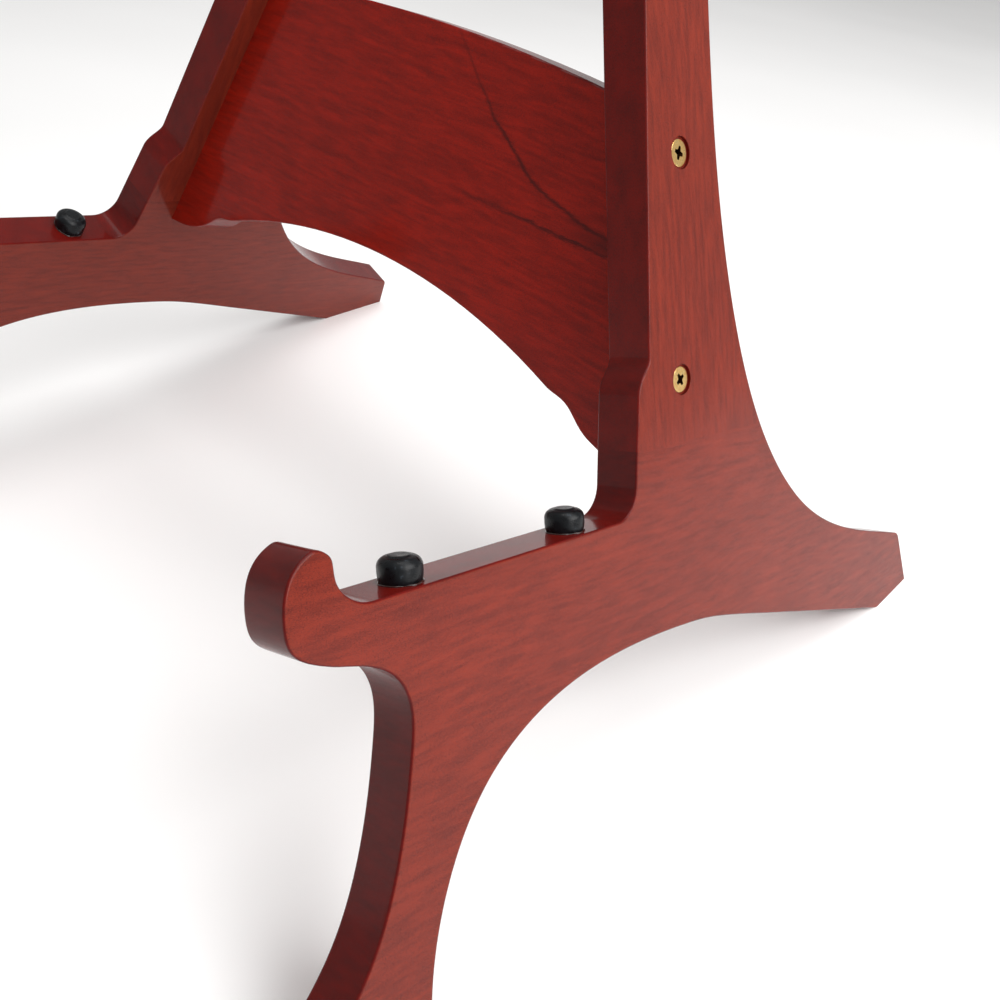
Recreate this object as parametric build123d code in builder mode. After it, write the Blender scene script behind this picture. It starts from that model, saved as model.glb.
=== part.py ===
"""Knock-down wooden floor stand for one guitar.

Two side frames lean towards each other at the top. Each is a base board (hook, arm and
both legs) with an upright glued on top, and an arched cross panel is screwed between them.
Units are millimetres, +Z is up, the hooks face -Y and the mirror plane is X = 0.
The origin is on the floor, at the centre of the footprint.
"""
import os
from math import atan, cos, radians, sin, tan

from build123d import *

os.makedirs("parts", exist_ok=True)

# Driving dimensions: boards
board = 18.0              # thickness of every board
roundover = 0.8           # sanded radius on the long edges
lean_in = 22.8            # degrees that each side leans inwards
arm_fall = 11.1           # degrees that the arms fall towards the back
upright_lean = 11.5       # degrees that the uprights lean back, in the side's own plane
screw_height = 152.0      # lower screw above the floor, at the outer face
screw_half_span = 151.0   # lower screw from the mirror plane, at the outer face
front_reach = 220.0       # front toe, in front of the lower screw
back_reach = 185.0        # back toe, behind the lower screw

# Driving dimensions: side outline, measured from the lower screw in the side's own plane
arm_height = -46.9        # the arm's top line, straight below the screw
corner_radius = 11.0      # between the arm and the upright
toe_radius = 5.0
glue_line_rise = 23.1     # glue joint above the arm's top line
top_width = 37.6          # across the upright, just under its round top
top_height = 191.5        # where the round top begins, on the front edge

# Driving dimensions: cross panel, measured from the lower screw's axis in the panel's plane
arch_crown = 0.5          # lower edge at the middle
arch_half_span = 100.0    # the arch ends here and the ears begin
arch_spring = -17.9
ear_drop = -32.5          # lower edge of the ears
top_crown = 97.0          # upper edge at the middle
top_spring = 89.0         # upper edge at top_half_span
top_half_span = 120.0
blank_half_span = 175.0   # before the ends are cut to the sides

# Driving dimensions: fasteners and dowels
upper_screw_rise = 73.6   # along the cross panel, from the lower screw
screw_shank = 4.9
screw_clearance = 5.5
screw_length = 40.0
head_diameter = 9.5
head_rim = 0.4
head_recess = 0.8         # head below the board's face
counterbore = 11.4
insert_diameter = 8.0
insert_length = 13.0
insert_bore = 5.0
dowel_diameter = 8.0
dowel_length = 40.0
dowel_air = 1.0           # room left past a dowel's end
locating_dowel_length = 32.0
locating_dowel_in_side = 11.0
glue_dowel_stations = (-20.0, 28.0)

# Driving dimensions: rubber bumpers
bumper_diameter = 13.6
bumper_foot = 12.8        # diameter where it meets the wood
bumper_height = 8.0
stem_diameter = 5.0
stem_length = 9.0
stem_play = 0.1
arm_bumper_stations = {"front": -139.2, "rear": -66.6}
back_bumper_height = 168.0

lean, fall, tilt = radians(lean_in), radians(arm_fall), radians(upright_lean)
screw_back = (front_reach - back_reach) / 2
panel_tilt = atan(tan(tilt) / cos(lean))
foot_line = -screw_height / cos(lean)

side = Plane(
    origin=(screw_half_span, screw_back, screw_height),
    x_dir=(0, 1, 0),
    z_dir=(cos(lean), 0, sin(lean)),
)
side_middle = side.offset(-board / 2)
side_inner = side.offset(-board)
left_inner = Plane(
    origin=(-side_inner.origin.X, screw_back, side_inner.origin.Z),
    x_dir=(0, 1, 0),
    z_dir=(-side.z_dir.X, 0, side.z_dir.Z),
)
cross_middle = Plane(
    origin=(0, screw_back, side_inner.origin.Z),
    x_dir=(1, 0, 0),
    z_dir=(0, -cos(panel_tilt), sin(panel_tilt)),
)

along_arm = Vector(cos(fall), -sin(fall))
off_arm = Vector(sin(fall), cos(fall))
up_edge = Vector(sin(tilt), cos(tilt))
off_edge = Vector(-cos(tilt), sin(tilt))

upper_screw = (
    upper_screw_rise * sin(panel_tilt),
    upper_screw_rise * cos(panel_tilt) / cos(lean),
)
screw_places = {"lower": (0.0, 0.0), "upper": upper_screw}
locating_place = (upper_screw[0] / 2, upper_screw[1] / 2)


def on_arm(station):
    """Point on the arm's top line, at a distance behind the screw."""
    return (station, arm_height - station * tan(fall))


def on_front_edge(height):
    """Point on the upper front edge of the upright."""
    return (upper_edge_foot[0] + (height - upper_edge_foot[1]) * tan(tilt), height)


def plane_on_side(place, direction):
    """Plane in the middle of the side's thickness, facing along a direction in its face."""
    x, y = place
    start = side_middle.from_local_coords(Vector(x, y))
    ahead = side_middle.from_local_coords(Vector(x, y) + direction)
    return Plane(origin=start, x_dir=side.z_dir, z_dir=ahead - start)


def plane_through_side(place):
    """Plane on the side's outer face, facing outwards, at a place in the outline."""
    return Plane(
        origin=side.from_local_coords(Vector(*place)), x_dir=side.x_dir, z_dir=side.z_dir
    )


# Side outline, front to back: x is behind the screw, y is above it
arm_front = on_arm(-156.0)
hook_throat = (-166.3, -4.5)
hook_crest = (-173.9, 4.4)
hook_belly = (-173.0, -27.8)
front_toe = (-217.4, -137.0)
front_toe_floor = (-front_reach, foot_line)
front_heel = (-174.0, foot_line)
arch_end = (41.1, -116.0)
back_heel = (148.0, foot_line)
back_toe_floor = (back_reach, foot_line)
back_toe = (179.6, -136.0)
upper_edge_foot = (-18.1, 13.2)
lower_edge_top = (-27.1, 1.9)
arm_corner = on_arm(-38.6)
front_top = on_front_edge(top_height)
back_top = (front_top[0] + top_width * cos(tilt), front_top[1] - top_width * sin(tilt))
corner_radii = {arm_corner: corner_radius, front_toe: toe_radius, back_toe: toe_radius}


def side_outline():
    """Outline of a whole side, drawn from the arm's back corner, hook first."""
    Line(arm_corner, arm_front)
    Spline(arm_front, (-163.4, -11.9), hook_throat, tangents=(-along_arm, (0.05, 1)))
    Spline(
        hook_throat, (-166.2, 1.3), (-169.4, 4.5), hook_crest,
        tangents=((0.05, 1), (-0.95, -0.30)),
    )
    Spline(
        hook_crest, (-181.4, -1.2), (-185.1, -12.2), hook_belly,
        tangents=((-0.95, -0.30), (0.87, -0.50)),
    )
    Spline(
        hook_belly, (-157.8, -37.0), (-152.2, -50.6), (-156.1, -66.2),
        (-171.0, -97.3), (-190.8, -121.2), front_toe,
        tangents=((0.87, -0.50), (-0.90, -0.43)), tangent_scalars=(0.5, 0.9),
    )
    Polyline(front_toe, front_toe_floor, front_heel)
    Spline(
        front_heel, (-158.0, -120.0), (-133.8, -93.9), (-75.0, -81.3), (-16.0, -92.8), arch_end,
        tangents=((0.15, 0.98), (0.906, -0.423)),
    )
    Polyline(arch_end, back_heel, back_toe_floor, back_toe)
    Spline(
        back_toe, (132.0, -114.3), (82.9, -81.1), (52.4, -34.0), (40.3, 20.0),
        (39.8, 80.0), (46.0, 135.0), back_top,
        tangents=((-0.90, 0.42), up_edge),
    )
    TangentArc(back_top, front_top, tangent=up_edge)
    Line(front_top, upper_edge_foot)
    Spline(
        upper_edge_foot, (-21.7, 8.7), lower_edge_top,
        tangents=(-up_edge, (-0.28, -0.96)),
    )
    Line(lower_edge_top, arm_corner)


# Side blank: base board and upright glued together, then shaped as one
with BuildPart() as side_blank:
    with BuildSketch(side) as side_face:
        with BuildLine():
            side_outline()
        make_face()
        for corner, radius in corner_radii.items():
            fillet(side_face.vertices().sort_by_distance(Vector(*corner))[0], radius)
    extrude(amount=-board)
    long_edges = side_blank.faces().filter_by(side).edges()
    fillet(long_edges.filter_by(lambda e: side.to_local_coords(e.center()).Y > foot_line + 1), roundover)
    split(bisect_by=Plane.XY, keep=Keep.TOP)

pieces = {}


def keep_piece(name, part):
    """Label a finished piece and write it."""
    part.label = name
    export_step(part, f"parts/{name}.step")
    pieces[name] = part


# The glue joint between base board and upright, and its dowels
glue_start = arm_height + glue_line_rise / cos(fall)


def on_glue_line(station):
    """Point on the glue joint, at a distance behind the screw."""
    return (station, glue_start - station * tan(fall))


glue_plane = plane_on_side(on_glue_line(0.0), off_arm)
glue_dowel_planes = [plane_on_side(on_glue_line(s), off_arm) for s in glue_dowel_stations]
dowel_hole_depth = dowel_length / 2 + dowel_air

# Base board: hook, arm and both legs in one piece
with BuildPart() as right_base_board:
    add(side_blank.part)
    split(bisect_by=glue_plane, keep=Keep.BOTTOM)
    with Locations(*[p.location for p in glue_dowel_planes]):
        Cylinder(dowel_diameter / 2, 2 * dowel_hole_depth, mode=Mode.SUBTRACT)
    for station in arm_bumper_stations.values():
        with Locations(plane_on_side(on_arm(station), off_arm).location):
            Hole(stem_diameter / 2, stem_length + dowel_air)
keep_piece("right_base_board", right_base_board.part)

# Upright, with the screw holes stepped for the heads
with BuildPart() as right_upright:
    add(side_blank.part)
    split(bisect_by=glue_plane, keep=Keep.TOP)
    with Locations(*[p.location for p in glue_dowel_planes]):
        Cylinder(dowel_diameter / 2, 2 * dowel_hole_depth, mode=Mode.SUBTRACT)
    for place in screw_places.values():
        hole_plane = plane_through_side(place)
        with Locations(hole_plane.location):
            CounterBoreHole(screw_clearance / 2, counterbore / 2, head_recess + head_rim)
        with Locations(hole_plane.offset(-head_recess - head_rim).location):
            CounterSinkHole(screw_clearance / 2, head_diameter / 2, board, 90)
    with Locations(plane_through_side(locating_place).offset(-board).location):
        Cylinder(dowel_diameter / 2, 2 * (locating_dowel_in_side + dowel_air), mode=Mode.SUBTRACT)
    with Locations(plane_on_side(on_front_edge(back_bumper_height), off_edge).location):
        Hole(stem_diameter / 2, stem_length + dowel_air)
keep_piece("right_upright", right_upright.part)

# Cross panel: arched below, crowned above, its ends cut to the leaning sides
with BuildPart() as cross_panel:
    with BuildSketch(cross_middle):
        with BuildLine():
            lower_arch = ThreePointArc(
                (-arch_half_span, arch_spring), (0, arch_crown), (arch_half_span, arch_spring)
            )
            ear = Spline(
                (arch_half_span, arch_spring), (107.7, -19.4), (112.0, -21.0), (117.9, -25.2),
                (123.2, -28.4), (128.4, -30.2), (150.0, ear_drop), tangents=(lower_arch % 1, (1, -0.04)),
            )
            end = Polyline(ear @ 1, (blank_half_span, ear_drop - 1), (top_half_span, top_spring))
            mirror(ear, about=Plane.YZ)
            mirror(end, about=Plane.YZ)
            ThreePointArc(
                (-top_half_span, top_spring), (0, top_crown), (top_half_span, top_spring)
            )
        make_face()
    extrude(amount=board / 2, both=True)
    split(bisect_by=side_inner, keep=Keep.BOTTOM)
    split(bisect_by=left_inner, keep=Keep.BOTTOM)
    long_edges = cross_panel.faces().filter_by(cross_middle).edges()
    fillet(long_edges.filter_by(lambda e: e.geom_type != GeomType.LINE), roundover)
    with BuildPart(mode=Mode.PRIVATE) as end_drillings:
        for place in screw_places.values():
            mouth = plane_through_side(place).offset(-board)
            with Locations(mouth.location):
                Cylinder(insert_diameter / 2, 2 * insert_length)
                Cylinder(screw_clearance / 2, 2 * (screw_length - board + 2 * dowel_air))
        with Locations(plane_through_side(locating_place).offset(-board).location):
            in_panel = locating_dowel_length - locating_dowel_in_side + dowel_air
            Cylinder(dowel_diameter / 2, 2 * in_panel)
        mirror(about=Plane.YZ)
    add(end_drillings.part, mode=Mode.SUBTRACT)
keep_piece("cross_panel", cross_panel.part)

# Beech dowels: two across each glue joint, one locating dowel at each end of the panel
for label, dowel_plane in zip(("front", "rear"), glue_dowel_planes):
    with BuildPart() as dowel:
        with Locations(dowel_plane.location):
            Cylinder(dowel_diameter / 2, dowel_length)
        chamfer(dowel.edges(), 1)
    keep_piece(f"right_{label}_glue_dowel", dowel.part)

with BuildPart() as locating_dowel:
    deep_end = plane_through_side(locating_place).offset(locating_dowel_in_side - board)
    with Locations(deep_end.offset(-locating_dowel_length / 2).location):
        Cylinder(dowel_diameter / 2, locating_dowel_length)
    chamfer(locating_dowel.edges(), 1)
keep_piece("right_locating_dowel", locating_dowel.part)


def screw_on(plane):
    """Countersunk machine screw with a cross recess, its head facing along the plane."""
    top = plane.offset(-head_recess)
    cone = (head_diameter - screw_shank) / 2
    with BuildPart() as screw:
        with BuildSketch(Plane(origin=top.origin, x_dir=top.x_dir, z_dir=-top.y_dir)):
            with BuildLine():
                Polyline(
                    (0, 0), (head_diameter / 2, 0), (head_diameter / 2, -head_rim),
                    (screw_shank / 2, -head_rim - cone), (screw_shank / 2, 1 - screw_length),
                    (screw_shank / 2 - 1, -screw_length), (0, -screw_length), close=True,
                )
            make_face()
        revolve(axis=Axis(top.origin, top.z_dir))
        with BuildSketch(top.rotated((0, 0, 30))):
            Rectangle(4.9, 1.2)
            Rectangle(1.2, 4.9)
        extrude(amount=-2.2, taper=14, mode=Mode.SUBTRACT)
    return screw.part


def insert_on(plane):
    """Threaded brass insert, its mouth flush with the panel's end."""
    mouth = plane.offset(-board)
    with BuildPart() as insert:
        with Locations(mouth.offset(-insert_length / 2).location):
            Cylinder(insert_diameter / 2, insert_length)
            Cylinder(insert_bore / 2, insert_length, mode=Mode.SUBTRACT)
    return insert.part


for label, place in screw_places.items():
    keep_piece(f"right_{label}_screw", screw_on(plane_through_side(place)))
    keep_piece(f"right_{label}_insert", insert_on(plane_through_side(place)))


def bumper_on(plane):
    """Domed rubber bumper with a stem that pushes into a hole."""
    foot, waist, height = bumper_foot / 2, bumper_diameter / 2, bumper_height
    stem = stem_diameter / 2 - stem_play
    with BuildPart() as bumper:
        with BuildSketch(Plane(origin=plane.origin, x_dir=plane.x_dir, z_dir=-plane.y_dir)):
            with BuildLine():
                bottom = Polyline((0, -stem_length), (stem, -stem_length), (stem, 0), (foot, 0))
                wall = Spline(
                    bottom @ 1, (waist, 0.36 * height), (0.72 * waist, 0.93 * height),
                    (0, height), tangents=((0.25, 1), (-1, 0)),
                )
                Line(wall @ 1, bottom @ 0)
            make_face()
        revolve(axis=Axis(plane.origin, plane.z_dir))
    return bumper.part


for label, station in arm_bumper_stations.items():
    keep_piece(f"right_{label}_bumper", bumper_on(plane_on_side(on_arm(station), off_arm)))
back_bumper_plane = plane_on_side(on_front_edge(back_bumper_height), off_edge)
keep_piece("right_back_bumper", bumper_on(back_bumper_plane))

# The left side is the right side's mirror image
for name, right_part in list(pieces.items()):
    if name.startswith("right_"):
        with BuildPart() as left_piece:
            mirror(right_part, about=Plane.YZ)
        keep_piece(name.replace("right_", "left_"), left_piece.part)
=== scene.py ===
"""Looks for a knock-down wooden guitar stand.

The boards are mahogany, stained red-brown and lacquered, and come from the frame. The rubber
bumpers and the brass screws are modelled here, round the places that the frame gives them.
"""
import math

import bmesh
import bpy
from bpy.props import FloatProperty, FloatVectorProperty, PointerProperty, StringProperty
from mathutils import Matrix, Vector


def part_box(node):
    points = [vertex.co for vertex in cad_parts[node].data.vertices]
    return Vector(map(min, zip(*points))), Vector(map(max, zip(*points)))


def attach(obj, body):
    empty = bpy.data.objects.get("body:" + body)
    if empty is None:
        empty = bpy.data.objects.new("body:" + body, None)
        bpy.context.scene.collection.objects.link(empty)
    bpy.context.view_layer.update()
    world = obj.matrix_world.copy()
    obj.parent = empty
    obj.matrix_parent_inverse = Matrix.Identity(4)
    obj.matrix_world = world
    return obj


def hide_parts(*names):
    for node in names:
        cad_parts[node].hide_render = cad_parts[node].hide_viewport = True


bl_info = {
    "name": "Guitar Stand Looks",
    "version": (1, 0, 0),
    "blender": (4, 5, 0),
    "location": "3D View > Sidebar > Guitar Stand",
    "description": "Stained mahogany, rubber bumpers and brass screws for a guitar stand",
    "category": "Object",
}

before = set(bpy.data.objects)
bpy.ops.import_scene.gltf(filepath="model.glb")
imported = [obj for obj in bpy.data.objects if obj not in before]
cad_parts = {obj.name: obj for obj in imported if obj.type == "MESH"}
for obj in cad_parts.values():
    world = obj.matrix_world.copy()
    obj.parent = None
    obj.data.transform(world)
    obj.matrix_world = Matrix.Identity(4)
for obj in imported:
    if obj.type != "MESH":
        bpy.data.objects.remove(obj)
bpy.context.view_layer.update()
MM = 0.001
BODY = "root"
SIDES = {"right": 1.0, "left": -1.0}

# How the stand leans, in degrees, as its maker would give it
LEAN_IN = 22.8
ARM_FALL = 11.1
UPRIGHT_LEAN = 11.5
PANEL_TILT = 12.45


# ---------------------------------------------------------------- settings

def colour_property(name, value, description):
    """Colour stored as an sRGB hex string, so that it reads as it is picked."""
    return StringProperty(name=name, default=value, description=description)


def length_property(name, millimetres, description):
    """Length in metres, given in millimetres."""
    return FloatProperty(
        name=name, default=millimetres * MM, description=description, unit="LENGTH", min=0.0
    )


class WoodSettings(bpy.types.PropertyGroup):
    """Stain, grain and lacquer of the boards."""

    side_light: colour_property("Side, light grain", "#852D1C", "Palest stain on the side boards")
    side_dark: colour_property("Side, dark grain", "#5F1D14", "Deepest stain on the side boards")
    edge: colour_property("Sawn edges", "#DC8898", "Tint over the stain on the sawn edges")
    end_grain: colour_property("End grain", "#E4D4D8", "Further tint where the grain ends")
    panel_light: colour_property("Panel, light grain", "#A21E0F", "Palest stain on the panel")
    panel_dark: colour_property("Panel, dark grain", "#6C1008", "Deepest stain on the panel")
    pore: colour_property("Pores", "#2C1210", "Stain that has settled in the open pores")
    vein: colour_property("Veins", "#2A0B0A", "Dark mineral veins in the cross panel")
    ring_spacing: length_property("Ring spacing", 7.0, "Width of one year of growth")
    pore_length: length_property("Pore spacing along", 2.8, "From pore to pore along the grain")
    pore_width: length_property("Pore spacing across", 0.52, "From pore to pore across the grain")
    lacquer: FloatProperty(
        name="Lacquer roughness", default=0.14, min=0.0, max=1.0, subtype="FACTOR",
        description="Roughness of the sprayed lacquer over the stain",
    )


class BumperSettings(bpy.types.PropertyGroup):
    """Push-in rubber bumpers on the arms and uprights."""

    rubber: colour_property("Rubber", "#0A0B0D", "Moulded black rubber")
    glue: colour_property("Glue", "#2A1512", "Clear glue over the dark stain")
    diameter: length_property("Diameter", 13.6, "Widest part of a bumper")
    foot: length_property("Foot diameter", 12.8, "Where the bumper meets the wood")
    height: length_property("Height", 8.0, "Bumper above the wood")
    stem: length_property("Stem diameter", 4.8, "Stem in its hole")
    stem_length: length_property("Stem length", 9.0, "Stem below the wood's face")


class ScrewSettings(bpy.types.PropertyGroup):
    """Countersunk cross-recess screws."""

    brass: colour_property("Brass plating", "#F4D08C", "Bright brass plating on steel")
    head: length_property("Head diameter", 9.5, "Diameter of the flat head")
    rim: length_property("Head rim", 0.4, "Straight rim under the flat of the head")
    shank: length_property("Shank diameter", 4.9, "Diameter over the thread")
    length: length_property("Length", 40.0, "Length from the head's flat to the tip")
    recess: length_property("Head below face", 0.8, "Head's flat below the board's face")


class StageSettings(bpy.types.PropertyGroup):
    """Floor, lights and camera."""

    floor: colour_property("Floor", "#FCFBFA", "Plain pale floor")
    eye: FloatVectorProperty(
        name="Eye", default=(0.3087, -0.2915, 0.3232), subtype="TRANSLATION", unit="LENGTH",
        description="Place of the camera",
    )
    azimuth: FloatProperty(
        name="Azimuth", default=math.radians(35.7), subtype="ANGLE",
        description="Turn of the camera about the upright axis",
    )
    elevation: FloatProperty(
        name="Elevation", default=math.radians(34.1), subtype="ANGLE",
        description="How far the camera looks down",
    )
    roll: FloatProperty(
        name="Roll", default=math.radians(9.2), subtype="ANGLE",
        description="Turn of the camera about its own axis",
    )
    lens: FloatProperty(
        name="Focal length", default=37.4, subtype="DISTANCE_CAMERA", min=1.0,
        description="Focal length on a 36 mm sensor",
    )


# ---------------------------------------------------------------- nodes

def hex_colour(text):
    """Linear RGBA of an sRGB hex colour."""
    channels = [int(text[i:i + 2], 16) / 255 for i in (1, 3, 5)]
    linear = [c / 12.92 if c <= 0.04045 else ((c + 0.055) / 1.055) ** 2.4 for c in channels]
    return (*linear, 1.0)


def add_node(tree, kind, inputs=None, **settings):
    """Add a node, set its properties, then fill its inputs with sockets or constants."""
    node = tree.nodes.new(kind)
    for key, value in settings.items():
        setattr(node, key, value)
    for key, value in (inputs or {}).items():
        if isinstance(value, bpy.types.NodeSocket):
            tree.links.new(value, node.inputs[key])
        else:
            node.inputs[key].default_value = value
    return node


def set_ramp(node, *stops):
    """Set a colour ramp's stops, each a place and a linear colour or a grey."""
    ramp = node.color_ramp
    while len(ramp.elements) > 1:
        ramp.elements.remove(ramp.elements[-1])
    for number, (place, value) in enumerate(stops):
        stop = ramp.elements[0] if number == 0 else ramp.elements.new(place)
        stop.position = place
        stop.color = value if isinstance(value, tuple) else (value, value, value, 1.0)
    return node


def new_material(name):
    """Empty node material with its output, and the tree that it is built in."""
    material = bpy.data.materials.new(name)
    material.use_nodes = True
    material.node_tree.nodes.clear()
    return material, material.node_tree


def finish_material(tree, shader):
    """Join a shader to the material's output."""
    add_node(tree, "ShaderNodeOutputMaterial", {"Surface": shader.outputs["BSDF"]})


# ---------------------------------------------------------------- how the boards lie

def side_axes(sign):
    """Back, up and outward directions of a side board's face."""
    lean = math.radians(LEAN_IN)
    back = Vector((0, 1, 0))
    outward = Vector((sign * math.cos(lean), 0, math.sin(lean)))
    up = Vector((-sign * math.sin(lean), 0, math.cos(lean)))
    return back, up, outward


def grain_turn(along, face):
    """Rotation that carries the grain to X and the face's normal to Z."""
    along, face = along.normalized(), face.normalized()
    across = face.cross(along)
    return Matrix((along, across, face)).to_euler()


def side_grain(sign, degrees_from_back):
    """Grain direction in a side's plane, turned up from straight back, and the face."""
    back, up, outward = side_axes(sign)
    turn = math.radians(degrees_from_back)
    return back * math.cos(turn) + up * math.sin(turn), outward


# ---------------------------------------------------------------- materials

def streaks(tree, board, length, width, depth, seed, **settings):
    """Noise drawn out along the grain, its features about length by width in size."""
    stretched = add_node(
        tree, "ShaderNodeMapping",
        {"Vector": board, "Scale": (1 / length, 1 / width, 1 / depth), "Location": seed},
    )
    return add_node(tree, "ShaderNodeTexNoise", {"Vector": stretched.outputs[0], **settings})


def grain_space(tree, coords, along, face, middle):
    """Coordinates of one board: X along the grain, Z out of the face, from its middle."""
    centred = add_node(
        tree, "ShaderNodeMapping",
        {"Vector": coords.outputs["Object"], "Location": middle}, vector_type="TEXTURE",
    )
    turned = add_node(
        tree, "ShaderNodeMapping",
        {"Vector": centred.outputs[0], "Rotation": grain_turn(along, face)},
    )
    return turned.outputs[0]


def grain_patterns(tree, board, seed):
    """Broad streaks, fine fibre, and the whole tone from 0, dark, to 1, light."""
    # Growth bands lie flat in the board and waver along it
    wander = add_node(
        tree, "ShaderNodeTexNoise",
        {"Vector": board, "Scale": 9.0, "Detail": 2.0, "Roughness": 0.5},
    )
    wander_size = add_node(
        tree, "ShaderNodeVectorMath",
        {0: wander.outputs["Color"], 1: (0.0, 30 * MM, 30 * MM)}, operation="MULTIPLY",
    )
    wandered = add_node(
        tree, "ShaderNodeVectorMath", {0: board, 1: wander_size.outputs[0]}, operation="ADD",
    )
    ring_spacing = bpy.context.scene.stand_wood.ring_spacing
    bands = streaks(
        tree, wandered.outputs[0], 250 * MM, ring_spacing, 30 * MM, seed, Detail=1.0,
    )
    broad = streaks(tree, board, 70 * MM, 12 * MM, 50 * MM, seed, Detail=4.0, Roughness=0.55)
    # Real fibre is far finer. It is drawn at this size so that it shows from arm's length
    fibre = streaks(tree, board, 5 * MM, 0.8 * MM, 0.8 * MM, seed, Detail=3.0, Roughness=0.7)
    cloud = add_node(
        tree, "ShaderNodeTexNoise",
        {"Vector": board, "Scale": 22.0, "Detail": 4.0, "Roughness": 0.6},
    )
    tone = bands.outputs["Fac"]
    for share, pattern in ((0.62, broad), (0.52, fibre), (0.18, cloud)):
        mixed = add_node(
            tree, "ShaderNodeMix", {"Factor": share, "A": tone, "B": pattern.outputs["Fac"]},
        )
        tone = mixed.outputs[0]
    return broad, fibre, tone


def drink_stain(tree, coords, colour, tint, direction, pale, deep, depth):
    """Deepen a stain by a tint, as the surface turns from pale to deep against a direction."""
    facing = add_node(
        tree, "ShaderNodeVectorMath",
        {0: coords.outputs["Normal"], 1: direction.normalized()}, operation="DOT_PRODUCT",
    )
    turned = add_node(
        tree, "ShaderNodeMath", {0: facing.outputs["Value"]}, operation="ABSOLUTE",
    )
    strength = add_node(
        tree, "ShaderNodeMapRange",
        {"Value": turned.outputs[0], "From Min": pale, "From Max": deep,
         "To Min": 0.0, "To Max": depth},
        interpolation_type="SMOOTHSTEP",
    )
    deepened = add_node(
        tree, "ShaderNodeMix",
        {"Factor": strength.outputs[0], "A": colour, "B": hex_colour(tint)},
        data_type="RGBA", blend_type="MULTIPLY",
    )
    return deepened.outputs[2]


def open_pores(tree, board, broad, seed):
    """Short dashes, 1 in a pore and 0 outside, more of them in some bands than in others.

    Real pores are 0.15 mm wide. They are drawn about twice that, so that they show.
    """
    wood = bpy.context.scene.stand_wood
    pores = streaks(
        tree, board, wood.pore_length, wood.pore_width, wood.pore_width, seed,
        Detail=1.0, Roughness=0.5,
    )
    crowding = add_node(
        tree, "ShaderNodeMapRange",
        {"Value": broad.outputs["Fac"], "From Min": 0.35, "From Max": 0.65,
         "To Min": 0.05, "To Max": -0.04},
    )
    crowded = add_node(
        tree, "ShaderNodeMath",
        {0: pores.outputs["Fac"], 1: crowding.outputs[0]}, operation="ADD",
    )
    return add_node(
        tree, "ShaderNodeMapRange",
        {"Value": crowded.outputs[0], "From Min": 0.52, "From Max": 0.59,
         "To Min": 0.0, "To Max": 1.0},
        interpolation_type="SMOOTHSTEP",
    )


def lacquered(tree, colour, tone, pores, fibre):
    """Clear lacquer over stained wood, sunk into the pores and rippled over the fibre."""
    surface = add_node(
        tree, "ShaderNodeMath",
        {0: pores.outputs[0], 1: -0.8, 2: fibre.outputs["Fac"]}, operation="MULTIPLY_ADD",
    )
    relief = add_node(
        tree, "ShaderNodeBump",
        {"Height": surface.outputs[0], "Strength": 0.5, "Distance": 0.05 * MM},
    )
    sheen = add_node(
        tree, "ShaderNodeMapRange",
        {"Value": tone, "From Min": 0.3, "From Max": 0.7, "To Min": 0.5, "To Max": 0.38},
    )
    return add_node(
        tree, "ShaderNodeBsdfPrincipled",
        {
            "Base Color": colour, "Roughness": sheen.outputs[0],
            "IOR": 1.5, "Specular IOR Level": 0.05, "Normal": relief.outputs[0],
            "Coat Weight": 0.75, "Coat Roughness": bpy.context.scene.stand_wood.lacquer,
            "Coat IOR": 1.24,
        },
    )


def stained_mahogany(name, along, face, colours, edge, seed, middle, veined=False):
    """Khaya or sapele board, stained and sprayed with clear lacquer.

    The eye gets an even red-brown with soft clouds and streaks, open pores as short dark
    dashes along the grain, darker sawn edges, and a thin clear coat with crisp reflections.
    """
    wood = bpy.context.scene.stand_wood
    material, tree = new_material(name)
    coords = add_node(tree, "ShaderNodeTexCoord")
    board = grain_space(tree, coords, along, face, middle)
    broad, fibre, tone = grain_patterns(tree, board, seed)

    light, dark = (hex_colour(c) for c in colours)
    stain = set_ramp(
        add_node(tree, "ShaderNodeValToRGB", {"Fac": tone}), (0.33, dark), (0.67, light),
    )
    colour = stain.outputs["Color"]
    if veined:
        colour = add_veins(tree, board, colour)

    # Sawn edges drink more stain than the planed faces, and end grain drinks the most
    colour = drink_stain(tree, coords, colour, wood.edge, face, 0.97, 0.80, edge)
    colour = drink_stain(tree, coords, colour, wood.end_grain, along, 0.35, 0.9, edge)

    pores = open_pores(tree, board, broad, seed)
    pore_strength = add_node(
        tree, "ShaderNodeMath", {0: pores.outputs[0], 1: 0.58}, operation="MULTIPLY",
    )
    with_pores = add_node(
        tree, "ShaderNodeMix",
        {"Factor": pore_strength.outputs[0], "A": colour, "B": hex_colour(wood.pore)},
        data_type="RGBA",
    )
    finish_material(tree, lacquered(tree, with_pores.outputs[2], tone, pores, fibre))
    return material


def vein_line(tree, above, along, width, start):
    """Soft line of a vein, from its height above the middle line, fading in from start."""
    away = add_node(tree, "ShaderNodeMath", {0: above}, operation="ABSOLUTE")
    line = add_node(
        tree, "ShaderNodeMapRange",
        {"Value": away.outputs[0], "From Min": width, "From Max": 0.0,
         "To Min": 0.0, "To Max": 0.72},
        interpolation_type="SMOOTHSTEP",
    )
    fade = add_node(
        tree, "ShaderNodeMapRange",
        {"Value": along, "From Min": start, "From Max": start + 50 * MM,
         "To Min": 0.0, "To Max": 1.0},
    )
    faded = add_node(
        tree, "ShaderNodeMath", {0: line.outputs[0], 1: fade.outputs[0]}, operation="MULTIPLY",
    )
    return faded.outputs[0]


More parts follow.
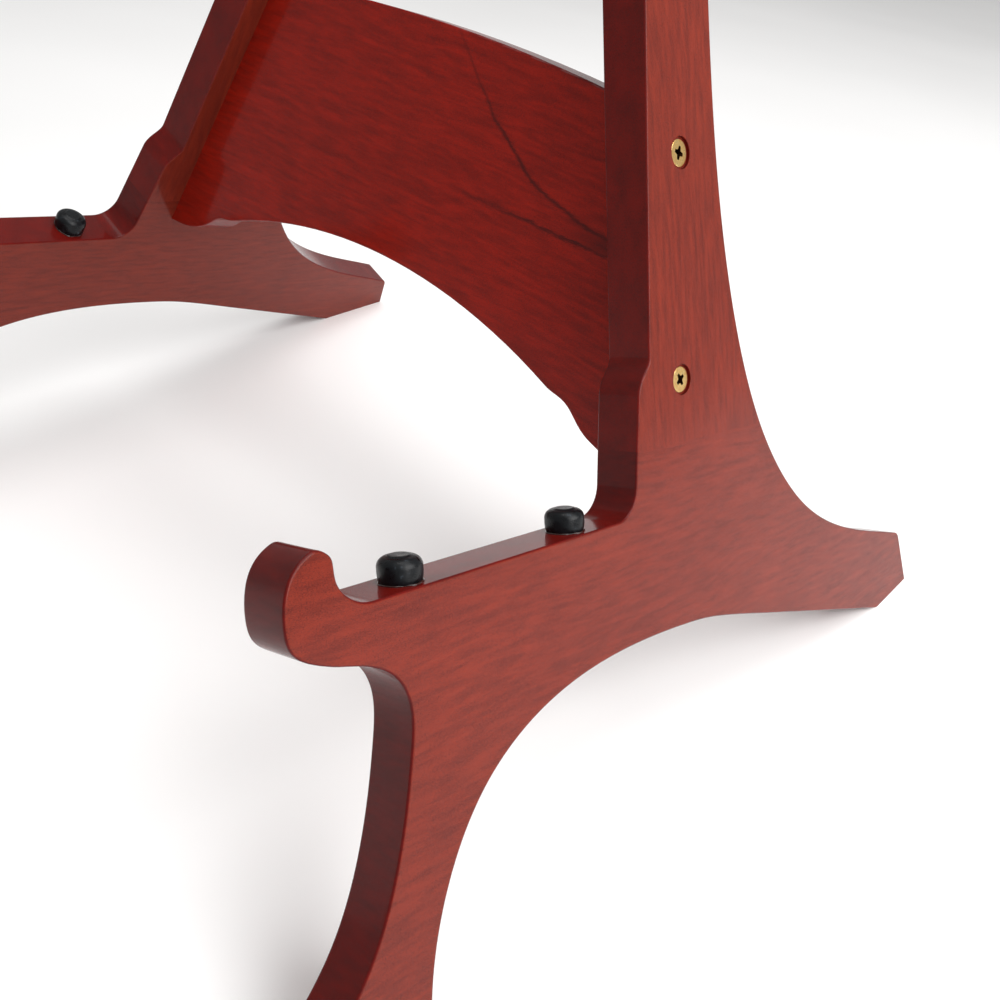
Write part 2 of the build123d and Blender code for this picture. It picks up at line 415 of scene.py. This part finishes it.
def feathered_height(tree, board, place):
    """Height across the grain, wavering slowly and feathered along the fibre."""
    waver = add_node(
        tree, "ShaderNodeTexNoise", {"Vector": board, "Scale": 70.0, "Detail": 3.0},
    )
    wavering = add_node(
        tree, "ShaderNodeMath",
        {0: waver.outputs["Fac"], 1: -5 * MM, 2: place.outputs["Y"]},
        operation="MULTIPLY_ADD",
    )
    feather = streaks(tree, board, 18 * MM, 1.6 * MM, 1.6 * MM, (0.0, 0.0, 0.0), Detail=3.0)
    return add_node(
        tree, "ShaderNodeMath",
        {0: feather.outputs["Fac"], 1: 2.4 * MM, 2: wavering.outputs[0]},
        operation="MULTIPLY_ADD",
    )


def add_veins(tree, board, colour):
    """Lay the tip of a dark mineral arch over a stain: two veins that run together.

    The lower vein keeps to the grain and the upper one falls to it, above the middle of the
    panel and towards its right end. Between them the wood is darkened where they meet.
    """
    wood = bpy.context.scene.stand_wood
    place = add_node(tree, "ShaderNodeSeparateXYZ", {"Vector": board})
    along = place.outputs["X"]
    height = feathered_height(tree, board, place)
    meeting, lower, gap, fall = 110 * MM, 5.2 * MM, 5.2 * MM, 5.8
    from_meeting = add_node(
        tree, "ShaderNodeMath", {0: along, 1: meeting}, operation="SUBTRACT",
    )
    squared = add_node(
        tree, "ShaderNodeMath", {0: from_meeting.outputs[0], 1: 2.0}, operation="POWER",
    )
    above_lower = add_node(
        tree, "ShaderNodeMath", {0: height.outputs[0], 1: lower}, operation="SUBTRACT",
    ).outputs[0]
    fallen = add_node(
        tree, "ShaderNodeMath",
        {0: squared.outputs[0], 1: -fall, 2: above_lower}, operation="MULTIPLY_ADD",
    )
    above_upper = add_node(
        tree, "ShaderNodeMath", {0: fallen.outputs[0], 1: gap}, operation="SUBTRACT",
    ).outputs[0]
    between = add_node(
        tree, "ShaderNodeMath", {0: above_lower, 1: above_upper}, operation="MULTIPLY",
    )
    inside = add_node(
        tree, "ShaderNodeMath", {0: between.outputs[0], 1: 0.0}, operation="LESS_THAN",
    )
    near_meeting = add_node(
        tree, "ShaderNodeMapRange",
        {"Value": along, "From Min": 85 * MM, "From Max": 104 * MM,
         "To Min": 0.0, "To Max": 0.5},
    )
    wedge = add_node(
        tree, "ShaderNodeMath", {0: inside.outputs[0], 1: near_meeting.outputs[0]},
        operation="MULTIPLY",
    )
    strength = wedge.outputs[0]
    for above, width, start in ((above_lower, 1.3 * MM, 20 * MM), (above_upper, 1.6 * MM, 0.0)):
        line = vein_line(tree, above, along, width, start)
        strength = add_node(
            tree, "ShaderNodeMath", {0: strength, 1: line}, operation="MAXIMUM",
        ).outputs[0]
    veined = add_node(
        tree, "ShaderNodeMix",
        {"Factor": strength, "A": colour, "B": hex_colour(wood.vein)}, data_type="RGBA",
    )
    return veined.outputs[2]


def moulded_rubber():
    """Black rubber out of a mould: a low sheen, with faint grey flow marks."""
    material, tree = new_material("moulded_rubber")
    coords = add_node(tree, "ShaderNodeTexCoord")
    flow = add_node(
        tree, "ShaderNodeTexNoise",
        {"Vector": coords.outputs["Object"], "Scale": 420.0, "Detail": 4.0, "Roughness": 0.6},
    )
    grit = add_node(
        tree, "ShaderNodeTexNoise",
        {"Vector": coords.outputs["Object"], "Scale": 4200.0, "Detail": 2.0},
    )
    black = hex_colour(bpy.context.scene.stand_bumpers.rubber)
    tint = set_ramp(
        add_node(tree, "ShaderNodeValToRGB", {"Fac": flow.outputs["Fac"]}),
        (0.35, black), (0.64, hex_colour("#101316")), (0.74, hex_colour("#3A4148")),
    )
    sheen = add_node(
        tree, "ShaderNodeMapRange",
        {"Value": flow.outputs["Fac"], "From Min": 0.3, "From Max": 0.7,
         "To Min": 0.20, "To Max": 0.45},
    )
    height = add_node(
        tree, "ShaderNodeMath",
        {0: grit.outputs["Fac"], 1: 0.25, 2: flow.outputs["Fac"]}, operation="MULTIPLY_ADD",
    )
    relief = add_node(
        tree, "ShaderNodeBump",
        {"Height": height.outputs[0], "Strength": 0.6, "Distance": 0.15 * MM},
    )
    shader = add_node(
        tree, "ShaderNodeBsdfPrincipled",
        {"Base Color": tint.outputs["Color"], "Roughness": sheen.outputs[0],
         "IOR": 1.52, "Specular IOR Level": 0.2, "Normal": relief.outputs[0]},
    )
    finish_material(tree, shader)
    return material


def dried_glue():
    """Clear glue squeezed out under a bumper: glossy, and as dark as what it wets."""
    material, tree = new_material("dried_glue")
    coords = add_node(tree, "ShaderNodeTexCoord")
    lumps = add_node(
        tree, "ShaderNodeTexNoise", {"Vector": coords.outputs["Object"], "Scale": 700.0},
    )
    tint = set_ramp(
        add_node(tree, "ShaderNodeValToRGB", {"Fac": lumps.outputs["Fac"]}),
        (0.4, hex_colour(bpy.context.scene.stand_bumpers.glue)), (0.8, hex_colour("#3A211D")),
    )
    relief = add_node(
        tree, "ShaderNodeBump",
        {"Height": lumps.outputs["Fac"], "Strength": 0.4, "Distance": 0.2 * MM},
    )
    shader = add_node(
        tree, "ShaderNodeBsdfPrincipled",
        {"Base Color": tint.outputs["Color"], "Roughness": 0.12, "IOR": 1.5,
         "Normal": relief.outputs[0]},
    )
    finish_material(tree, shader)
    return material


def plated_brass():
    """Bright brass plating over a pressed steel head, with fine handling marks."""
    material, tree = new_material("plated_brass")
    coords = add_node(tree, "ShaderNodeTexCoord")
    marks = add_node(
        tree, "ShaderNodeTexNoise",
        {"Vector": coords.outputs["Object"], "Scale": 900.0, "Detail": 5.0, "Roughness": 0.65},
    )
    brass = bpy.context.scene.stand_screws.brass
    tint = set_ramp(
        add_node(tree, "ShaderNodeValToRGB", {"Fac": marks.outputs["Fac"]}),
        (0.3, hex_colour("#D9A65A")), (0.6, hex_colour(brass)),
    )
    sheen = add_node(
        tree, "ShaderNodeMapRange",
        {"Value": marks.outputs["Fac"], "From Min": 0.3, "From Max": 0.7,
         "To Min": 0.36, "To Max": 0.24},
    )
    relief = add_node(
        tree, "ShaderNodeBump",
        {"Height": marks.outputs["Fac"], "Strength": 0.2, "Distance": 0.05 * MM},
    )
    shader = add_node(
        tree, "ShaderNodeBsdfPrincipled",
        {"Base Color": tint.outputs["Color"], "Metallic": 1.0,
         "Roughness": sheen.outputs[0], "Normal": relief.outputs[0]},
    )
    finish_material(tree, shader)
    return material


def recess_shade_steel():
    """Steel in the driver's recess, darkened to stand for the shadow that the deep cross holds:
    painted shade.
    """
    material, tree = new_material("painted_shade_steel")
    coords = add_node(tree, "ShaderNodeTexCoord")
    # Noise that mottles the painted shade in the recess
    film = add_node(
        tree, "ShaderNodeTexNoise", {"Vector": coords.outputs["Object"], "Scale": 1500.0},
    )
    tint = set_ramp(
        add_node(tree, "ShaderNodeValToRGB", {"Fac": film.outputs["Fac"]}),
        (0.4, hex_colour("#1E120C")), (0.75, hex_colour("#4A3018")),
    )
    shader = add_node(
        tree, "ShaderNodeBsdfPrincipled",
        {"Base Color": tint.outputs["Color"], "Metallic": 1.0, "Roughness": 0.45},
    )
    finish_material(tree, shader)
    return material


def bare_beech():
    """Unfinished beech dowel: pale, with short brown flecks."""
    material, tree = new_material("bare_beech")
    coords = add_node(tree, "ShaderNodeTexCoord")
    flecks = add_node(
        tree, "ShaderNodeTexNoise",
        {"Vector": coords.outputs["Object"], "Scale": 900.0, "Detail": 2.0},
    )
    tint = set_ramp(
        add_node(tree, "ShaderNodeValToRGB", {"Fac": flecks.outputs["Fac"]}),
        (0.35, hex_colour("#B98C5E")), (0.55, hex_colour("#D9B386")),
    )
    shader = add_node(
        tree, "ShaderNodeBsdfPrincipled",
        {"Base Color": tint.outputs["Color"], "Roughness": 0.7, "IOR": 1.5},
    )
    finish_material(tree, shader)
    return material


def pale_floor():
    """Plain pale floor with a trace of tone, so that it isn't one flat colour."""
    material, tree = new_material("pale_floor")
    coords = add_node(tree, "ShaderNodeTexCoord")
    tone = add_node(
        tree, "ShaderNodeTexNoise", {"Vector": coords.outputs["Object"], "Scale": 2.0},
    )
    pale = hex_colour(bpy.context.scene.stand_stage.floor)
    tint = set_ramp(
        add_node(tree, "ShaderNodeValToRGB", {"Fac": tone.outputs["Fac"]}),
        (0.3, hex_colour("#F6F5F4")), (0.7, pale),
    )
    shader = add_node(
        tree, "ShaderNodeBsdfPrincipled",
        {"Base Color": tint.outputs["Color"], "Roughness": 0.6},
    )
    finish_material(tree, shader)
    return material


def middle_of(node_name):
    """Middle of a frame node's box."""
    low, high = (Vector(corner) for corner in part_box(node_name))
    return (low + high) / 2


def dress(node_name, material):
    """Give a frame node its finish."""
    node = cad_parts[node_name]
    node.data.materials.clear()
    node.data.materials.append(material)


# ---------------------------------------------------------------- mesh helpers

def piece_from(mesh, name, material, replaced):
    """Make a finished piece from a bmesh that is already in its place."""
    data = bpy.data.meshes.new(name)
    mesh.to_mesh(data)
    mesh.free()
    data.materials.append(material)
    piece = bpy.data.objects.new(name, data)
    bpy.context.collection.objects.link(piece)
    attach(piece, BODY)
    if replaced:
        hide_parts(replaced)
    return piece


def lathe(mesh, profile, steps):
    """Spin a profile of radius and height about Z, and close it at the axis."""
    points = [mesh.verts.new((radius, 0, height)) for radius, height in profile]
    edges = [mesh.edges.new(pair) for pair in zip(points, points[1:])]
    bmesh.ops.spin(
        mesh, geom=points + edges, cent=(0, 0, 0), axis=(0, 0, 1),
        angle=math.tau, steps=steps, use_merge=True,
    )
    bmesh.ops.remove_doubles(mesh, verts=mesh.verts, dist=1e-7)
    bmesh.ops.recalc_face_normals(mesh, faces=mesh.faces)


def arc_points(centre, radius, start, end, count):
    """Points of an arc in a profile, with its angles in degrees."""
    angles = [math.radians(start + (end - start) * i / count) for i in range(count + 1)]
    return [
        (centre[0] + radius * math.cos(a), centre[1] + radius * math.sin(a)) for a in angles
    ]


def placed(origin, outward, along):
    """Matrix that stands Z along outward, with X as near to along as it can be."""
    outward = outward.normalized()
    x = (along - outward * along.dot(outward)).normalized()
    turn = Matrix((x, outward.cross(x), outward)).transposed()
    return Matrix.Translation(origin) @ turn.to_4x4()


# ---------------------------------------------------------------- operators

class STAND_OT_boards(bpy.types.Operator):
    """Stain and lacquer the side boards, the uprights and the cross panel"""

    bl_idname = "stand.boards"
    bl_label = "Finish the Boards"

    def execute(self, context):
        wood = context.scene.stand_wood
        side_stain = (wood.side_light, wood.side_dark)
        panel_stain = (wood.panel_light, wood.panel_dark)
        for number, (side, sign) in enumerate(SIDES.items()):
            along, face = side_grain(sign, -ARM_FALL)
            base = stained_mahogany(
                f"stained_mahogany_base_{side}", along, face, side_stain, edge=1.0,
                seed=(3.1 + number, 1.7, 0.4), middle=middle_of(f"{side}_base_board"),
            )
            dress(f"{side}_base_board", base)
            along, face = side_grain(sign, 90 - UPRIGHT_LEAN / 2)
            upright = stained_mahogany(
                f"stained_mahogany_upright_{side}", along, face, side_stain, edge=1.0,
                seed=(9.3, 4.2 + number, 2.6), middle=middle_of(f"{side}_upright"),
            )
            dress(f"{side}_upright", upright)
        tilt = math.radians(PANEL_TILT)
        panel = stained_mahogany(
            "stained_mahogany_panel", Vector((1, 0, 0)),
            Vector((0, -math.cos(tilt), math.sin(tilt))), panel_stain, edge=0.5,
            seed=(5.5, 7.1, 1.3), middle=middle_of("cross_panel"), veined=True,
        )
        dress("cross_panel", panel)
        return {"FINISHED"}


class STAND_OT_bumpers(bpy.types.Operator):
    """Model the six push-in rubber bumpers, and the glue squeezed out under them"""

    bl_idname = "stand.bumpers"
    bl_label = "Make the Bumpers"

    def execute(self, context):
        rubber, glue = moulded_rubber(), dried_glue()
        for side, sign in SIDES.items():
            back, up, outward = side_axes(sign)
            fall, tilt = math.radians(ARM_FALL), math.radians(UPRIGHT_LEAN)
            off_arm = back * math.sin(fall) + up * math.cos(fall)
            off_edge = -back * math.cos(tilt) + up * math.sin(tilt)
            for place, direction in (("front", off_arm), ("rear", off_arm), ("back", off_edge)):
                node = f"{side}_{place}_bumper"
                where = self.foot_of(node, direction, outward)
                self.make_bumper(f"{side}_{place}_bumper_rubber", node, where, rubber)
                self.make_glue(f"{side}_{place}_bumper_glue", where, glue)
        return {"FINISHED"}

    def foot_of(self, node, direction, outward):
        """Matrix at the middle of a bumper's foot, from where its node lies."""
        vertices = [v.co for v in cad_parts[node].data.vertices]
        far = max(v.dot(direction) for v in vertices)
        height = bpy.context.scene.stand_bumpers.height
        crown = [v for v in vertices if v.dot(direction) > far - 0.02 * height]
        middle = sum(crown, Vector()) / len(crown)
        top = middle + direction * (far - middle.dot(direction))
        return placed(top - direction * height, direction, outward)

    def make_bumper(self, name, node, where, rubber):
        """A domed cap on a short neck, with a moulded step round its crown."""
        size = bpy.context.scene.stand_bumpers
        waist, foot, stem = size.diameter / 2, size.foot / 2, size.stem / 2
        shoulder, crown, lead_in = 3.0 * MM, 0.35 * MM, 0.6 * MM
        profile = [(0, -size.stem_length), (stem - lead_in, -size.stem_length)]
        profile += [(stem, -size.stem_length + lead_in), (stem, 0), (foot - 0.2 * MM, 0)]
        profile += [(foot, 0.25 * MM), (waist - 0.12 * MM, 1.3 * MM), (waist, 2.6 * MM)]
        centre = (waist - shoulder, size.height - crown - shoulder)
        profile += arc_points(centre, shoulder, 0, 78, 14)
        # A raised disc with a soft rim, dished a little at its middle
        disc, rim = 3.3 * MM, 0.25 * MM
        profile += [
            (disc + rim, size.height - 0.28 * MM), (disc, size.height - 0.04 * MM),
            (disc - rim, size.height), (disc * 0.5, size.height - 0.03 * MM),
            (0, size.height - 0.05 * MM),
        ]
        mesh = bmesh.new()
        lathe(mesh, profile, 72)
        for face in mesh.faces:
            face.smooth = True
        bmesh.ops.transform(mesh, matrix=where, verts=mesh.verts)
        piece_from(mesh, name, rubber, node)

    def make_glue(self, name, where, glue):
        """A thin uneven bead round the bumper's foot."""
        size = bpy.context.scene.stand_bumpers
        foot, bead, film = size.foot / 2, 0.42 * MM, 0.04 * MM
        mesh = bmesh.new()
        ring = [(foot - 0.5 * MM, 0.02 * MM)]
        ring += arc_points((foot - 0.05 * MM, 0.0), bead, 90, 0, 6)
        lathe(mesh, ring, 90)
        for vertex in mesh.verts:
            angle = math.atan2(vertex.co.y, vertex.co.x)
            swell = 1 + 0.05 * math.sin(3 * angle + 0.7) + 0.03 * math.sin(7 * angle + 2.0)
            vertex.co.x *= swell
            vertex.co.y *= 1 + (swell - 1) * 0.6
        for face in mesh.faces:
            face.smooth = True
        bmesh.ops.solidify(mesh, geom=mesh.faces[:], thickness=film)
        bmesh.ops.transform(mesh, matrix=where, verts=mesh.verts)
        piece_from(mesh, name, glue, None)


class STAND_OT_screws(bpy.types.Operator):
    """Model the four countersunk cross-recess screws"""

    bl_idname = "stand.screws"
    bl_label = "Make the Screws"

    def execute(self, context):
        # The second material is painted shade for the screws' cross recess
        brass, recess = plated_brass(), recess_shade_steel()
        for side, sign in SIDES.items():
            back, up, outward = side_axes(sign)
            for place, turn in (("lower", 24), ("upper", 63)):
                node = f"{side}_{place}_screw"
                self.make_screw(
                    f"{side}_{place}_screw_brass", node, outward, back, turn, brass, recess,
                )
        return {"FINISHED"}

    def make_screw(self, name, node, outward, back, turn, brass, recess):
        """Head, cone and threaded shank in one turning, with a pressed cross in the head."""
        size = bpy.context.scene.stand_screws
        vertices = [v.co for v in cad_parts[node].data.vertices]
        far = max(v.dot(outward) for v in vertices)
        rim = [v for v in vertices if v.dot(outward) > far - 0.1 * MM]
        rim = [v for v in rim if self.from_middle(v, rim, outward) > 0.4 * size.head]
        middle = sum(rim, Vector()) / len(rim)
        top = middle + outward * (far - middle.dot(outward))
        where = placed(top, outward, back) @ Matrix.Rotation(math.radians(turn), 4, "Z")

        head, shank = size.head / 2, size.shank / 2
        chamfer, pitch, depth = 0.22 * MM, 0.8 * MM, 0.3 * MM
        cone_end = size.rim + head - shank
        profile = [(head - chamfer, 0), (head - 0.06 * MM, -0.06 * MM), (head, -chamfer)]
        profile += [(head, -size.rim), (shank, -cone_end)]
        turns = int((size.length - cone_end - 2 * MM) / pitch)
        for number in range(turns):
            start = -cone_end - 0.8 * MM - number * pitch
            profile += [(shank, start), (shank - depth, start - pitch / 2)]
        profile += [(shank - depth, -size.length + 0.4 * MM), (0, -size.length)]
        mesh = bmesh.new()
        lathe(mesh, profile, 64)
        self.press_cross(mesh, head - chamfer)
        bmesh.ops.recalc_face_normals(mesh, faces=mesh.faces)
        bmesh.ops.transform(mesh, matrix=where, verts=mesh.verts)
        piece = piece_from(mesh, name, brass, node)
        # Second slot: painted shade for the cross recess
        piece.data.materials.append(recess)

    def from_middle(self, point, points, outward):
        """Distance of a point from the middle of its neighbours, square to outward."""
        offset = point - sum(points, Vector()) / len(points)
        return (offset - outward * offset.dot(outward)).length

    def press_cross(self, mesh, radius):
        """Fill the head's flat and press a tapered cross into it, its walls and floor dark with
        painted shade.
        """
        arm, half, depth = 2.45 * MM, 0.55 * MM, 2.3 * MM
        nick, taper = 0.38 * MM, 0.42
        corners = []
        for quarter in range(4):
            turn = Matrix.Rotation(math.radians(90 * quarter), 3, "Z")
            corner = [(arm, -half, 0), (arm, half, 0), (half + nick, half + nick, 0)]
            corners += [turn @ Vector(c) for c in corner]
        cross = [mesh.verts.new(c) for c in corners]
        cross_edges = [mesh.edges.new(pair) for pair in zip(cross, cross[1:] + cross[:1])]
        rim_edges = [
            e for e in mesh.edges
            if e.is_boundary and all(abs(v.co.xy.length - radius) < 1e-5 for v in e.verts)
        ]
        bmesh.ops.triangle_fill(mesh, edges=cross_edges + rim_edges, use_beauty=True)
        inside = [
            f for f in mesh.faces
            if all(v in cross for v in f.verts)
            and min(abs(c) for c in f.calc_center_median().xy) < half
        ]
        bmesh.ops.delete(mesh, geom=inside, context="FACES_ONLY")
        walls = bmesh.ops.extrude_edge_only(mesh, edges=cross_edges)
        floor = [g for g in walls["geom"] if isinstance(g, bmesh.types.BMVert)]
        for vertex in floor:
            vertex.co = Vector((vertex.co.x * taper, vertex.co.y * taper, -depth))
        floor_edges = [
            g for g in walls["geom"]
            if isinstance(g, bmesh.types.BMEdge) and all(v in floor for v in g.verts)
        ]
        bmesh.ops.contextual_create(mesh, geom=floor_edges)
        # The cross's walls and floor take the second material, painted shade
        for face in mesh.faces:
            inner = all(v in floor or v in cross for v in face.verts)
            if inner and any(v in floor for v in face.verts):
                face.material_index = 1


class STAND_OT_hidden_hardware(bpy.types.Operator):
    """Finish the beech dowels and the brass inserts inside the joints"""

    bl_idname = "stand.hidden_hardware"
    bl_label = "Finish the Hidden Hardware"

    def execute(self, context):
        beech = bare_beech()
        insert_brass = plated_brass()
        for side in SIDES:
            for dowel in ("front_glue", "rear_glue", "locating"):
                dress(f"{side}_{dowel}_dowel", beech)
            for place in ("lower", "upper"):
                dress(f"{side}_{place}_insert", insert_brass)
        return {"FINISHED"}


class STAND_OT_stage(bpy.types.Operator):
    """Lay the floor and set the lights and the camera"""

    bl_idname = "stand.stage"
    bl_label = "Set the Stage"

    def execute(self, context):
        context.scene.view_settings.view_transform = "Standard"
        self.lay_floor()
        self.set_world()
        self.set_lights()
        self.set_camera()
        return {"FINISHED"}

    def lay_floor(self):
        """A plain square floor, large enough for every view."""
        mesh = bmesh.new()
        bmesh.ops.create_grid(mesh, x_segments=1, y_segments=1, size=6.0)
        data = bpy.data.meshes.new("floor")
        mesh.to_mesh(data)
        mesh.free()
        data.materials.append(pale_floor())
        floor = bpy.data.objects.new("floor", data)
        bpy.context.collection.objects.link(floor)

    def set_world(self):
        """Even pale light from all round."""
        world = bpy.data.worlds.new("studio")
        bpy.context.scene.world = world
        world.use_nodes = True
        tree = world.node_tree
        tree.nodes.clear()
        light = add_node(
            tree, "ShaderNodeBackground", {"Color": hex_colour("#FFFFFF"), "Strength": 0.46},
        )
        add_node(tree, "ShaderNodeOutputWorld", {"Surface": light.outputs[0]})

    def set_lights(self):
        """A large soft box over the right side, with weaker ones above and low down."""
        aim = Vector((0.0, 0.0, 0.15))
        lights = {
            "key_softbox": ((1.7, 0.25, 1.45), 1.8, 54.0),
            "top_softbox": ((0.1, 0.3, 2.3), 1.6, 22.0),
            "low_softbox": ((2.0, -0.35, 0.4), 0.9, 2.0),
        }
        for name, (place, size, power) in lights.items():
            data = bpy.data.lights.new(name, "AREA")
            data.shape, data.size, data.energy = "SQUARE", size, power
            light = bpy.data.objects.new(name, data)
            light.location = place
            light.rotation_euler = (aim - Vector(place)).to_track_quat("-Z", "Y").to_euler()
            bpy.context.collection.objects.link(light)

    def set_camera(self):
        """Close view from the front right, looking down over the near arm."""
        stage = bpy.context.scene.stand_stage
        data = bpy.data.cameras.new("camera")
        data.sensor_width, data.lens = 36.0, stage.lens
        data.clip_start, data.clip_end = 0.01, 60.0
        data.shift_x, data.shift_y = -0.019, -0.007
        camera = bpy.data.objects.new("camera", data)
        level = Matrix.Rotation(stage.azimuth, 4, "Z")
        down = Matrix.Rotation(math.pi / 2 - stage.elevation, 4, "X")
        roll = Matrix.Rotation(stage.roll, 4, "Z")
        camera.matrix_world = Matrix.Translation(stage.eye) @ level @ down @ roll
        bpy.context.collection.objects.link(camera)
        bpy.context.scene.camera = camera


class STAND_PT_panel(bpy.types.Panel):
    """Settings and steps of the guitar stand"""

    bl_idname = "STAND_PT_panel"
    bl_label = "Guitar Stand"
    bl_space_type = "VIEW_3D"
    bl_region_type = "UI"
    bl_category = "Guitar Stand"

    def draw(self, context):
        scene = context.scene
        for name in SETTINGS:
            box = self.layout.box()
            group = getattr(scene, name)
            for key in group.bl_rna.properties.keys():
                if key not in {"rna_type", "name"}:
                    box.prop(group, key)
        for operator in STEPS:
            self.layout.operator(operator.bl_idname)


SETTINGS = {
    "stand_wood": WoodSettings,
    "stand_bumpers": BumperSettings,
    "stand_screws": ScrewSettings,
    "stand_stage": StageSettings,
}
STEPS = (
    STAND_OT_boards,
    STAND_OT_bumpers,
    STAND_OT_screws,
    STAND_OT_hidden_hardware,
    STAND_OT_stage,
)
CLASSES = (*SETTINGS.values(), *STEPS, STAND_PT_panel)


def register():
    for cls in CLASSES:
        bpy.utils.register_class(cls)
    for name, cls in SETTINGS.items():
        setattr(bpy.types.Scene, name, PointerProperty(type=cls))


def unregister():
    for name in SETTINGS:
        delattr(bpy.types.Scene, name)
    for cls in reversed(CLASSES):
        bpy.utils.unregister_class(cls)


def main():
    register()
    bpy.ops.stand.boards()
    bpy.ops.stand.bumpers()
    bpy.ops.stand.screws()
    bpy.ops.stand.hidden_hardware()
    bpy.ops.stand.stage()


if __name__ == "__main__":
    main()
